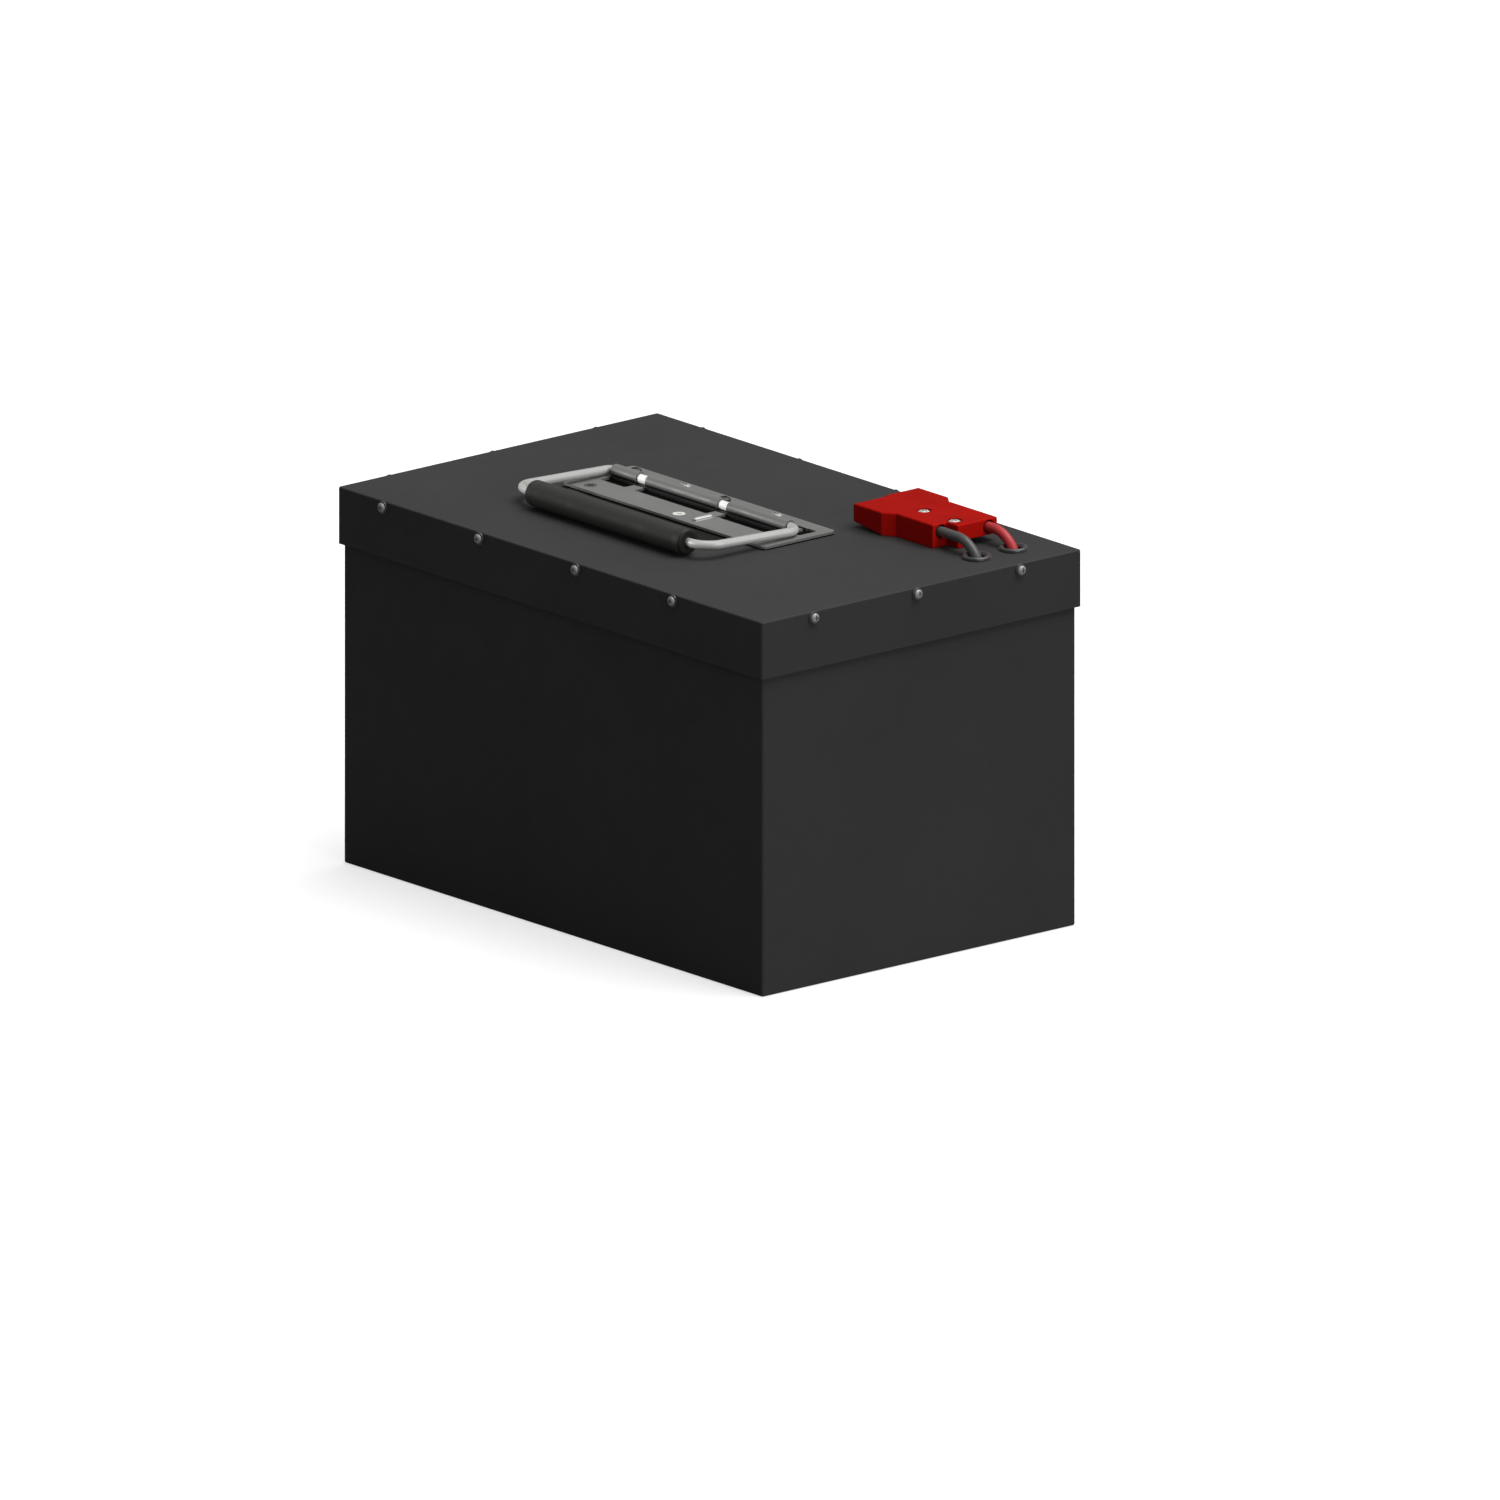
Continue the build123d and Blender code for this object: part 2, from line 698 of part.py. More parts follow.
with BuildPart() as plate:
    with BuildSketch(Plane.XZ):
        with Locations((0, cell_z / 2)):
            RectangleRounded(block_x, cell_z - 6, 4)
        with Locations((0, cell_z / 2)):
            with GridLocations(54, 60, 5, 3):
                SlotOverall(30, 10, mode=Mode.SUBTRACT)
    extrude(amount=end_plate)
plate_seats = [
    Pos(block_mid, -block_half_y, cell_base),
    Pos(block_mid, block_half_y + end_plate, cell_base),
]
group(placed(plate.part, *plate_seats), "end_plates")

with BuildPart() as band:
    with BuildSketch():
        RectangleRounded(block_x + 2 * strap, 2 * (block_half_y + end_plate + strap), 1.5)
        Rectangle(block_x, 2 * (block_half_y + end_plate), mode=Mode.SUBTRACT)
    extrude(amount=16)
group(placed(band.part, Pos(block_mid, 0, 50), Pos(block_mid, 0, 138)), "compression_straps")

with BuildPart() as base_pad:
    with Locations((block_mid, 0, sheet)):
        Box(block_x, 2 * block_half_y, floor_pad, align=(Align.CENTER, Align.CENTER, Align.MIN))
save(base_pad.part, "base_pad")

cover_z = post_top + 13.0
with BuildPart() as cell_cover:
    with Locations((block_mid, 0, cover_z)):
        Box(block_x - 2, 235, 1.5, align=(Align.CENTER, Align.CENTER, Align.MIN))
    with Locations((block_mid, -116.75, cell_top), (block_mid, 116.75, cell_top)):
        Box(block_x - 2, 1.5, cover_z - cell_top, align=(Align.CENTER, Align.CENTER, Align.MIN))
    with BuildSketch(Plane.XY.offset(cover_z)):
        with Locations((block_mid, 0)):
            with GridLocations(60, 60, 4, 3):
                SlotOverall(30, 6)
    extrude(amount=1.5, mode=Mode.SUBTRACT)
save(cell_cover.part, "cell_cover")

# ---------------------------------------------------------------- battery management board
board_holes = [(-100, 30), (30, 30), (-100, 170), (30, 170)]
with BuildPart() as bms_bracket:
    with Locations((bracket_x, 0, sheet)):
        Box(2, 224, 176, align=(Align.MIN, Align.CENTER, Align.MIN))
    with Locations((bracket_x, 0, sheet)):
        Box(28, 224, 2, align=(Align.MIN, Align.CENTER, Align.MIN))
    with Locations((bracket_x, fuse_y, 170)):
        Box(2, 40, 40, align=(Align.MIN, Align.CENTER, Align.MIN))
save(bms_bracket.part, "bms_bracket")

with BuildPart() as standoff:
    with BuildSketch(Plane.YZ):
        RegularPolygon(2.75, 6, major_radius=False)
        Circle(m3_bore, mode=Mode.SUBTRACT)
    extrude(amount=board_x - bracket_x - 2)
standoff_places = [Pos(bracket_x + 2, y, z) for y, z in board_holes]
group(placed(standoff.part, *standoff_places), "board_standoffs")

with BuildPart() as board_screw:
    with BuildSketch(Plane.YZ):
        Circle(2.75)
    extrude(amount=2)
    with BuildSketch(Plane.YZ):
        Circle(m3_shank)
    extrude(amount=-7)
    with BuildSketch(Plane.YZ.offset(2)):
        Rectangle(3.2, 0.7)
        Rectangle(0.7, 3.2)
    extrude(amount=-0.9, mode=Mode.SUBTRACT)
group(placed(board_screw.part, *[Pos(board_face, y, z) for y, z in board_holes]), "board_screws")

with BuildPart() as bms_board:
    with BuildSketch(Plane.YZ.offset(board_x)):
        with Locations((-35, 100)):
            RectangleRounded(140, 150, 3)
        with Locations(board_holes):
            Circle(m3_clear, mode=Mode.SUBTRACT)
    extrude(amount=board_thick)
save(bms_board.part, "bms_board")

transistor_y = [-88 + 15 * n for n in range(8)]
with BuildPart() as transistor:
    with BuildSketch(Plane.YZ):
        Rectangle(10.4, 15)
    extrude(amount=4.6)
    chamfer(transistor.faces().sort_by(Axis.X)[-1].edges(), 0.5)
transistor_places = [Pos(board_face, y, 64) for y in transistor_y]
transistor_places += [Pos(board_face, y, 104) for y in transistor_y]
group(placed(transistor.part, *transistor_places), "bms_transistors")

sink_x = board_face + 4.6
with BuildPart() as bms_heatsink:
    with Locations((sink_x, -35.5, 84)):
        Box(4, 126, 88, align=(Align.MIN, Align.CENTER, Align.CENTER))
    with Locations([(sink_x + 4, -94.5 + 11.8 * n, 84) for n in range(11)]):
        Box(13, 2.2, 88, align=(Align.MIN, Align.CENTER, Align.CENTER))
save(bms_heatsink.part, "bms_heatsink")

with BuildPart() as terminal_stud:
    with BuildSketch(Plane.YZ.offset(board_face)):
        RegularPolygon(6, 6, major_radius=False)
    extrude(amount=stud_shoulder - board_face)
    with BuildSketch(Plane.YZ.offset(stud_shoulder)):
        Circle(stud_radius)
    extrude(amount=12)
    chamfer(terminal_stud.faces().sort_by(Axis.X)[-1].edges(), 0.6)
stud_places = [Pos(0, y, z) for y, z in (bms_negative, bms_pack_out, (fuse_y, fuse_in_z), (fuse_y, fuse_out_z))]
group(placed(terminal_stud.part, *stud_places), "terminal_studs")

with BuildPart() as balance_socket:
    with Locations((board_face, 12, 166)):
        Box(8.4, 24, 12, align=(Align.MIN, Align.CENTER, Align.CENTER))
    with Locations((board_face + 2, 12, 172)):
        Box(4.4, 20.6, 8, align=(Align.MIN, Align.CENTER, Align.MAX), mode=Mode.SUBTRACT)
save(balance_socket.part, "balance_socket")

ribbon_z = post_top + 9.6
drop_x = board_face + 3.4
with BuildPart() as sense_harness:
    with BuildSketch(Plane.XZ.offset(-22)):
        with BuildLine():
            FilletPolyline((-160, ribbon_z), (drop_x, ribbon_z), (drop_x, 165), radius=8)
            FilletPolyline((-160, ribbon_z + 1.6), (drop_x + 1.6, ribbon_z + 1.6), (drop_x + 1.6, 165), radius=9.6)
            Line((-160, ribbon_z), (-160, ribbon_z + 1.6))
            Line((drop_x, 165), (drop_x + 1.6, 165))
        make_face()
    extrude(amount=20)
save(sense_harness.part, "sense_harness")

# ---------------------------------------------------------------- main fuse
with BuildPart() as fuse_base:
    with Locations((bracket_x + 2, fuse_y, (fuse_in_z + fuse_out_z) / 2)):
        Box(board_face - bracket_x - 2, 30, 80, align=(Align.MIN, Align.CENTER, Align.CENTER))
    chamfer(fuse_base.faces().sort_by(Axis.X)[-1].edges(), 1)
save(fuse_base.part, "fuse_base")

with BuildPart() as fuse_link:
    with BuildSketch(Plane.YZ.offset(stud_shoulder)):
        with Locations((fuse_y, (fuse_in_z + fuse_out_z) / 2)):
            SlotOverall(64, 14, rotation=90)
        with Locations((fuse_y, fuse_in_z), (fuse_y, fuse_out_z)):
            Circle(stud_hole, mode=Mode.SUBTRACT)
    extrude(amount=fuse_blade)
    with Locations((stud_shoulder + fuse_blade / 2, fuse_y, (fuse_in_z + fuse_out_z) / 2)):
        Box(9, 17, 28)
save(fuse_link.part, "fuse_link")

for name, (run, bends) in cable_lengths.items():
    print(name, "length", round(run, 1), "mm, bend radii", bends, "diameter", 2 * cable_radius)
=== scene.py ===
import math

import bmesh
import bpy
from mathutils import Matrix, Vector


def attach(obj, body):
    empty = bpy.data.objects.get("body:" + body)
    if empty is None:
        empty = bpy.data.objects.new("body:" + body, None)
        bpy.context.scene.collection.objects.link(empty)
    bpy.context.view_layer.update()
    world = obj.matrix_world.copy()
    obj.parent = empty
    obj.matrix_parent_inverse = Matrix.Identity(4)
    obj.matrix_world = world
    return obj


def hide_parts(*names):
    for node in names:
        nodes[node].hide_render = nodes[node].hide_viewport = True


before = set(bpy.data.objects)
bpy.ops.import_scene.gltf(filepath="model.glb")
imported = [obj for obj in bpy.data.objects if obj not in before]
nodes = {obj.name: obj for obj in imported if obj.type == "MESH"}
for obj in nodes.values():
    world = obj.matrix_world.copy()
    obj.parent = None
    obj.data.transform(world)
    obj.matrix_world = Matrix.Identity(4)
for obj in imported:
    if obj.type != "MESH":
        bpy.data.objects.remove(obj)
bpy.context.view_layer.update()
MM = 0.001


# ---------------------------------------------------------------- materials
class Finish:
    """A procedural material, new under a name or one that exists, with short calls for its nodes."""

    def __init__(self, made):
        if isinstance(made, str):
            made = bpy.data.materials.new(made)
            made.use_nodes = True
        self.material = made
        self.tree = made.node_tree
        self.bsdf = self.tree.nodes["Principled BSDF"]
        self.place = self.add("ShaderNodeTexCoord").outputs["Object"]
        self.normal = None

    def add(self, kind, **settings):
        node = self.tree.nodes.new(kind)
        for key, value in settings.items():
            setattr(node, key, value)
        return node

    def feed(self, value, socket):
        if isinstance(value, bpy.types.NodeSocket):
            self.tree.links.new(value, socket)
        else:
            socket.default_value = value

    def set(self, **values):
        for key, value in values.items():
            self.feed(value, self.bsdf.inputs[key.replace("_", " ")])

    def where(self, stretch):
        if stretch == (1, 1, 1):
            return self.place
        node = self.add("ShaderNodeMapping")
        node.inputs["Scale"].default_value = stretch
        self.feed(self.place, node.inputs["Vector"])
        return node.outputs["Vector"]

    def noise(self, scale, detail=3.0, rough=0.55, stretch=(1, 1, 1)):
        node = self.add("ShaderNodeTexNoise")
        self.feed(self.where(stretch), node.inputs["Vector"])
        node.inputs["Scale"].default_value = scale
        node.inputs["Detail"].default_value = detail
        node.inputs["Roughness"].default_value = rough
        return node.outputs["Fac"]

    def cells(self, scale, stretch=(1, 1, 1)):
        node = self.add("ShaderNodeTexVoronoi")
        self.feed(self.where(stretch), node.inputs["Vector"])
        node.inputs["Scale"].default_value = scale
        return node.outputs["Distance"]

    def waves(self, scale, axis="X", distort=0.0, stretch=(1, 1, 1)):
        node = self.add("ShaderNodeTexWave", bands_direction=axis)
        self.feed(self.where(stretch), node.inputs["Vector"])
        node.inputs["Scale"].default_value = scale
        node.inputs["Distortion"].default_value = distort
        return node.outputs["Fac"]

    def span(self, value, low, high, to_low, to_high):
        node = self.add("ShaderNodeMapRange")
        for socket, setting in zip(node.inputs, (value, low, high, to_low, to_high)):
            self.feed(setting, socket)
        return node.outputs["Result"]

    def math(self, operation, a, b):
        node = self.add("ShaderNodeMath", operation=operation)
        self.feed(a, node.inputs[0])
        self.feed(b, node.inputs[1])
        return node.outputs["Value"]

    def mix(self, factor, a, b, blend="MIX"):
        node = self.add("ShaderNodeMix", data_type="RGBA", blend_type=blend)
        self.feed(factor, node.inputs["Factor"])
        for value, name in ((a, "A"), (b, "B")):
            socket = next(s for s in node.inputs if s.name == name and s.type == "RGBA")
            self.feed(value if isinstance(value, bpy.types.NodeSocket) else (*value[:3], 1), socket)
        return next(s for s in node.outputs if s.type == "RGBA")

    def part(self, vector, axis):
        node = self.add("ShaderNodeSeparateXYZ")
        self.feed(vector, node.inputs["Vector"])
        return node.outputs[axis]

    def edges(self, radius):
        """1 on edges and corners, 0 on the flats, from a rounded normal."""
        bevel = self.add("ShaderNodeBevel", samples=6)
        bevel.inputs["Radius"].default_value = radius
        geometry = self.add("ShaderNodeNewGeometry")
        dot = self.add("ShaderNodeVectorMath", operation="DOT_PRODUCT")
        self.feed(bevel.outputs["Normal"], dot.inputs[0])
        self.feed(geometry.outputs["Normal"], dot.inputs[1])
        return self.span(dot.outputs["Value"], 0.98, 0.75, 0.0, 1.0)

    def soften(self, radius):
        """Rounds sharp edges in the shading, as moulding, deburring or plating does."""
        bevel = self.add("ShaderNodeBevel", samples=6)
        bevel.inputs["Radius"].default_value = radius
        self.normal = bevel.outputs["Normal"]
        self.feed(self.normal, self.bsdf.inputs["Normal"])

    def crevice(self, reach):
        """1 deep in corners and under overhangs, 0 on open faces."""
        node = self.add("ShaderNodeAmbientOcclusion", samples=8, only_local=True)
        node.inputs["Distance"].default_value = reach
        return self.span(node.outputs["AO"], 0.35, 0.85, 1.0, 0.0)

    def underside(self):
        """0 on faces that look up or sideways, 1 on those that look down."""
        normal = self.add("ShaderNodeNewGeometry").outputs["Normal"]
        return self.span(self.part(normal, "Z"), -0.12, -0.42, 0.0, 1.0)

    def band(self, axis, low, high):
        """1 where the X, Y or Z of a point lies from low to high, in metres, 0 elsewhere."""
        node = self.add("ShaderNodeMath", operation="COMPARE")
        middle, half = (low + high) / 2, (high - low) / 2
        for socket, value in zip(node.inputs, (self.part(self.place, axis), middle, half)):
            self.feed(value, socket)
        return node.outputs["Value"]

    def fade(self, axis, low, high, soft):
        """1 where the X, Y or Z of a point lies from low to high, in metres, falling to 0 over a margin."""
        at = self.part(self.place, axis)
        rise = self.span(at, low - soft, low, 0.0, 1.0)
        fall = self.span(at, high, high + soft, 1.0, 0.0)
        return self.math("MULTIPLY", rise, fall)

    def retone(self, mask, colour):
        """Blends the base colour to another one where the mask is 1."""
        tone = self.bsdf.inputs["Base Color"].links[0].from_socket
        self.set(Base_Color=self.mix(mask, tone, colour))

    def bump(self, height, depth, strength=1.0):
        node = self.add("ShaderNodeBump")
        node.inputs["Distance"].default_value = depth
        node.inputs["Strength"].default_value = strength
        self.feed(height, node.inputs["Height"])
        if self.normal is not None:
            self.feed(self.normal, node.inputs["Normal"])
        self.normal = node.outputs["Normal"]
        self.feed(self.normal, self.bsdf.inputs["Normal"])


def shade(colour, factor):
    return tuple(min(1.0, c * factor) for c in colour)


def powder_coat(name, colour):
    """Matt textured powder coat: fine orange peel, faint dusting in patches, paler on worn edges."""
    f = Finish(name)
    patch = f.span(f.noise(9, 4, 0.6), 0.35, 0.65, 0.0, 1.0)
    speck = f.span(f.noise(1400, 2), 0.3, 0.7, 0.0, 1.0)
    tone = f.mix(patch, shade(colour, 0.95), shade(colour, 1.05))
    tone = f.mix(speck, tone, f.mix(1.0, tone, (1.12, 1.12, 1.12), "MULTIPLY"))
    worn = f.math("MULTIPLY", f.edges(0.0012), f.span(f.noise(160, 5, 0.7), 0.45, 0.7, 0.0, 0.55))
    f.set(Base_Color=f.mix(worn, tone, shade(colour, 2.2)))
    f.set(Roughness=f.span(f.noise(40, 4), 0.3, 0.7, 0.62, 0.74), Specular_IOR_Level=0.17)
    f.bump(f.noise(900, 2, 0.5), 0.00005, 0.55)
    f.bump(f.noise(2600, 2, 0.5), 0.00002, 0.5)
    return f.material


def metal(
    name, colour, rough, grain=(30, 600, 600), depth=0.00001, stain=0.12, metallic=1.0, soft=0.0002, painted_shade_reach=0.0
):
    """Bare or plated metal: drawn or brushed streaks, handling marks that change the gloss, small pits."""
    f = Finish(name)
    f.soften(soft)
    streak = f.noise(1.0, 4, 0.7, grain)
    blotch = f.noise(70, 4, 0.6)
    dull = f.span(blotch, 0.35, 0.7, 0.0, 1.0)
    drawn = f.span(streak, 0.3, 0.7, 0.0, 1.0)
    tone = f.mix(drawn, shade(colour, 1 - stain * 0.5), shade(colour, 1 + stain * 0.35))
    tone = f.mix(f.math("MULTIPLY", dull, 0.5), tone, shade(colour, 1 - stain))
    pit = f.span(f.cells(900), 0.0, 0.12, 1.0, 0.0)
    tone = f.mix(f.math("MULTIPLY", pit, 0.35), tone, shade(colour, 0.55))
    # Painted shade: near-black in crevices, under overhangs and on faces that look down, when a reach is
    # given.
    if painted_shade_reach:
        tone = f.mix(f.math("MAXIMUM", f.crevice(painted_shade_reach), f.underside()), tone, (0.004, 0.004, 0.003))
    f.set(Base_Color=tone, Metallic=metallic)
    low, high = rough
    f.set(Roughness=f.span(f.math("ADD", streak, dull), 0.4, 1.5, low, high))
    f.bump(streak, depth, 0.6)
    f.bump(blotch, depth * 4, 0.25)
    return f.material


def plastic(name, colour, rough, depth=0.00003, grain=1600, specular=0.5, scuff=1.5, soft=0.0004):
    """Moulded plastic: spark-eroded mould grain, slow flow marks, scuffed edges."""
    f = Finish(name)
    f.soften(soft)
    flow = f.span(f.noise(22, 3, 0.5, (1, 1.6, 1)), 0.35, 0.65, 0.0, 1.0)
    tone = f.mix(flow, shade(colour, 0.93), shade(colour, 1.06))
    fine = f.span(f.noise(grain, 2), 0.3, 0.7, 0.94, 1.06)
    scuffed = f.math("MULTIPLY", f.edges(0.0008), f.span(f.noise(240, 5, 0.7), 0.45, 0.75, 0.0, 0.6))
    tone = f.mix(scuffed, tone, shade(colour, scuff))
    bright = f.add("ShaderNodeHueSaturation")
    f.feed(fine, bright.inputs["Value"])
    f.feed(tone, bright.inputs["Color"])
    f.set(Base_Color=bright.outputs["Color"])
    low, high = rough
    f.set(Roughness=f.span(f.noise(60, 4), 0.3, 0.7, low, high), Specular_IOR_Level=specular)
    f.bump(f.noise(grain, 2, 0.5), depth, 0.6)
    f.bump(f.noise(45, 3), 0.0002, 0.12)
    return f.material


def rubber(name, colour, rough=(0.6, 0.8), specular=0.35, along=None, sheen=0.1):
    """Rubber, silicone and foam: matt, dusty in patches, with faint lines from the extruder or the mould."""
    f = Finish(name)
    bloom = f.span(f.noise(90, 5, 0.65), 0.4, 0.75, 0.0, 0.6)
    tone = f.mix(bloom, shade(colour, 0.92), shade(colour, 1.18))
    dust = f.span(f.noise(2400, 2), 0.62, 0.75, 0.0, 0.35)
    f.set(Base_Color=f.mix(dust, tone, shade(colour, 1.45)))
    low, high = rough
    f.set(Roughness=f.span(f.noise(150, 4), 0.3, 0.7, low, high), Specular_IOR_Level=specular)
    f.set(Sheen_Weight=sheen, Sheen_Roughness=0.6)
    if along:
        f.bump(f.noise(1.0, 3, 0.6, along), 0.00003, 0.5)
    f.bump(f.noise(1900, 2), 0.00003, 0.5)
    return f.material


def foam(name, colour):
    """Closed-cell foam: cut skin with open pores."""
    f = Finish(name)
    pores = f.cells(700)
    f.set(Base_Color=f.mix(f.span(pores, 0.1, 0.5, 0.0, 1.0), shade(colour, 0.6), shade(colour, 1.2)))
    f.set(Roughness=f.span(f.noise(80, 3), 0.3, 0.7, 0.85, 0.95), Specular_IOR_Level=0.2)
    f.bump(pores, 0.0002, 0.8)
    return f.material


def woven_board(name, colour, thread=0.0011):
    """Glass-epoxy laminate: the weave shows through the resin."""
    f = Finish(name)
    across = f.waves(1 / thread / 6.28, "Y")
    up = f.waves(1 / thread / 6.28, "Z")
    weave = f.math("MULTIPLY", across, up)
    cloud = f.span(f.noise(30, 4), 0.35, 0.65, 0.0, 1.0)
    tone = f.mix(cloud, shade(colour, 0.9), shade(colour, 1.08))
    f.set(Base_Color=f.mix(f.math("MULTIPLY", weave, 0.4), tone, shade(colour, 1.35)))
    f.set(Roughness=f.span(weave, 0.0, 1.0, 0.3, 0.42), Coat_Weight=0.3, Coat_Roughness=0.2)
    f.bump(weave, 0.00003, 0.5)
    return f.material


def film(name, colour):
    """Shrink film over a cell: tight wrinkles, a soft gloss."""
    f = Finish(name)
    wrinkle = f.noise(60, 5, 0.7, (1, 1, 0.25))
    f.set(Base_Color=f.mix(f.span(wrinkle, 0.35, 0.65, 0.0, 1.0), shade(colour, 0.85), shade(colour, 1.1)))
    f.set(Roughness=f.span(f.noise(25, 3), 0.3, 0.7, 0.22, 0.38), Coat_Weight=0.4, Coat_Roughness=0.12)
    f.bump(wrinkle, 0.0003, 0.4)
    return f.material


def clear(name, colour):
    """Clear polycarbonate sheet with fine handling scratches."""
    f = Finish(name)
    scratch = f.noise(1.0, 6, 0.8, (40, 900, 40))
    f.set(Base_Color=f.mix(f.span(scratch, 0.55, 0.75, 0.0, 1.0), colour, shade(colour, 0.9)))
    f.set(Roughness=f.span(scratch, 0.4, 0.8, 0.06, 0.25), Transmission_Weight=0.9, IOR=1.58)
    f.bump(scratch, 0.00001, 0.4)
    return f.material


def ribbon(name, colour):
    """Flat ribbon cable: one ridge for each wire."""
    f = Finish(name)
    ridges = f.waves(1 / 0.00127 / 6.28, "Y")
    f.set(Base_Color=f.mix(ridges, shade(colour, 0.75), shade(colour, 1.1)))
    f.set(Roughness=f.span(f.noise(90, 3), 0.3, 0.7, 0.4, 0.55), Specular_IOR_Level=0.4)
    f.bump(ridges, 0.0002, 0.7)
    return f.material


# Grain of small turned or pressed parts: the same in all directions.
STUBBY = (600, 600, 600)

# By the name of the material slot.
finishes = {
    "case_powder_coat": powder_coat("case_powder_coat_look", (0.029, 0.029, 0.029)),
    "lid_powder_coat": powder_coat("lid_powder_coat_look", (0.029, 0.029, 0.029)),
    "black_foam": foam("black_foam_look", (0.03, 0.03, 0.03)),
    "bright_steel": metal("bright_steel_look", (0.5, 0.49, 0.47), (0.42, 0.55), STUBBY, metallic=0.25),
    "black_rubber": rubber("black_rubber_look", (0.02, 0.02, 0.02), (0.28, 0.4), 0.6),
    "zinc_steel": metal("zinc_steel_look", (0.58, 0.58, 0.57), (0.32, 0.55), (60, 60, 60), stain=0.25),
    "grip_plastic": plastic(
        "grip_plastic_look", (0.026, 0.026, 0.024), (0.55, 0.68), 0.00004, 1300, specular=0.3, scuff=1.2
    ),
    "red_plastic": plastic(
        "red_plastic_look", (0.3, 0.004, 0.002), (0.5, 0.62), specular=0.03, scuff=1.2, soft=0.0012
    ),
    "silver_plate": metal("silver_plate_look", (0.86, 0.84, 0.8), (0.2, 0.36), (60, 500, 500)),
    "red_cable": rubber("red_cable_look", (0.4, 0.028, 0.034), (0.42, 0.56), 0.35, STUBBY, 0.0),
    "black_cable": rubber("black_cable_look", (0.045, 0.044, 0.043), (0.34, 0.5), 0.5, STUBBY),
    "tinned_copper": metal("tinned_copper_look", (0.7, 0.67, 0.62), (0.28, 0.45), (40, 300, 300), stain=0.2),
    "cell_aluminium": metal("cell_aluminium_look", (0.78, 0.78, 0.79), (0.25, 0.4), (200, 200, 30)),
    "cell_film": film("cell_film_look", (0.02, 0.09, 0.3)),
    "white_sheet": plastic("white_sheet_look", (0.7, 0.7, 0.68), (0.5, 0.65), scuff=1.05),
    "glass_board": woven_board("glass_board_look", (0.5, 0.44, 0.2)),
    "clear_sheet": clear("clear_sheet_look", (0.9, 0.93, 0.94)),
    "green_board": woven_board("green_board_look", (0.01, 0.12, 0.04)),
    "brass_parts": metal("brass_parts_look", (0.72, 0.53, 0.24), (0.25, 0.4), (400, 400, 60)),
    "black_plastic": plastic("black_plastic_look", (0.022, 0.022, 0.023), (0.4, 0.55)),
    "dark_aluminium": metal("dark_aluminium_look", (0.08, 0.08, 0.085), (0.4, 0.55), (400, 400, 40)),
    "white_plastic": plastic("white_plastic_look", (0.74, 0.73, 0.69), (0.35, 0.5), scuff=1.05),
    "ribbon_sheath": ribbon("ribbon_sheath_look", (0.42, 0.42, 0.42)),
    "fuse_ceramic": plastic("fuse_ceramic_look", (0.68, 0.66, 0.6), (0.25, 0.4), scuff=0.9),
}


def toned(material, colour, *boxes):
    """Gives a finish another colour inside boxes of {axis: (low, high)}, in mm in the row frame."""
    f = Finish(material)
    for box in boxes:
        mask = 1.0
        for axis, (low, high) in box.items():
            mask = f.math("MULTIPLY", f.band(axis, low * MM, high * MM), mask)
        f.retone(mask, colour)
    return material


# By the name of the node, for those that don't look like the others of their slot.
looks = {
    "lid_screws": metal("lid_screws_look", (0.3, 0.3, 0.29), (0.45, 0.58), STUBBY, metallic=0.5, soft=0.001),
    # The first and the third of the far screws are coloured near-black, and so is the left one of the near
    # pair.
    "handle_screws": toned(
        metal("handle_screws_look", (0.34, 0.34, 0.33), (0.4, 0.52), STUBBY, metallic=0.2),
        (0.03, 0.03, 0.03),
        {"X": (-120, -90)},
        {"X": (-30, 0)},
    ),
    "handle_flat_screws": toned(
        metal("handle_flat_screws_look", (0.75, 0.75, 0.71), (0.4, 0.52), STUBBY, metallic=0.2),
        (0.06, 0.06, 0.055),
        {"X": (-120, -80)},
    ),
    # The pad is near-black and matt, darker than the other rubber: partly its own colour, partly painted
    # shade under the barrels, seen through the openings in the plate.
    "handle_pad": rubber("handle_pad_look", (0.005, 0.005, 0.005), (0.85, 0.95), 0.0, sheen=0.0),
    # Under the barrels the plate is painted near-black as shade, and its crevices and faces that look down
    # get painted shade too.
    "handle_plate": toned(
        metal(
            "handle_plate_look", (0.175, 0.175, 0.168), (0.45, 0.56), (25, 900, 900),
            stain=0.1, metallic=0.3, painted_shade_reach=0.007,
        ),
        (0.004, 0.004, 0.003),
        {"X": (-103.5, 62.0), "Y": (7.0, 9.0), "Z": (237.5, 242.1)},
    ),
    # The rod is painted lighter in the two gaps between the knuckles, as a painted highlight.
    "handle_bail": toned(
        metal("handle_bail_look", (0.22, 0.22, 0.213), (0.4, 0.5), (40, 900, 900), stain=0.06, metallic=0.02),
        (0.46, 0.46, 0.445),
        {"X": (-79.4, -70.4), "Y": (8.0, 16.0)},
        {"X": (-2.8, 6.2), "Y": (8.0, 16.0)},
    ),
}

# Between the grip and the plate, inside the handle loop, the lid is darkened as a painted shadow of the
# handle.
lid = Finish(finishes["lid_powder_coat"])
painted_handle_shadow = lid.math("MULTIPLY", lid.fade("X", -0.085, 0.05, 0.012), lid.fade("Y", -0.04, -0.02, 0.009))
lid.retone(painted_handle_shadow, (0.005, 0.005, 0.0045))

for name, node in nodes.items():
    for slot in node.material_slots:
        slot.material = looks.get(name) or finishes[slot.material.name.split(".")[0]]


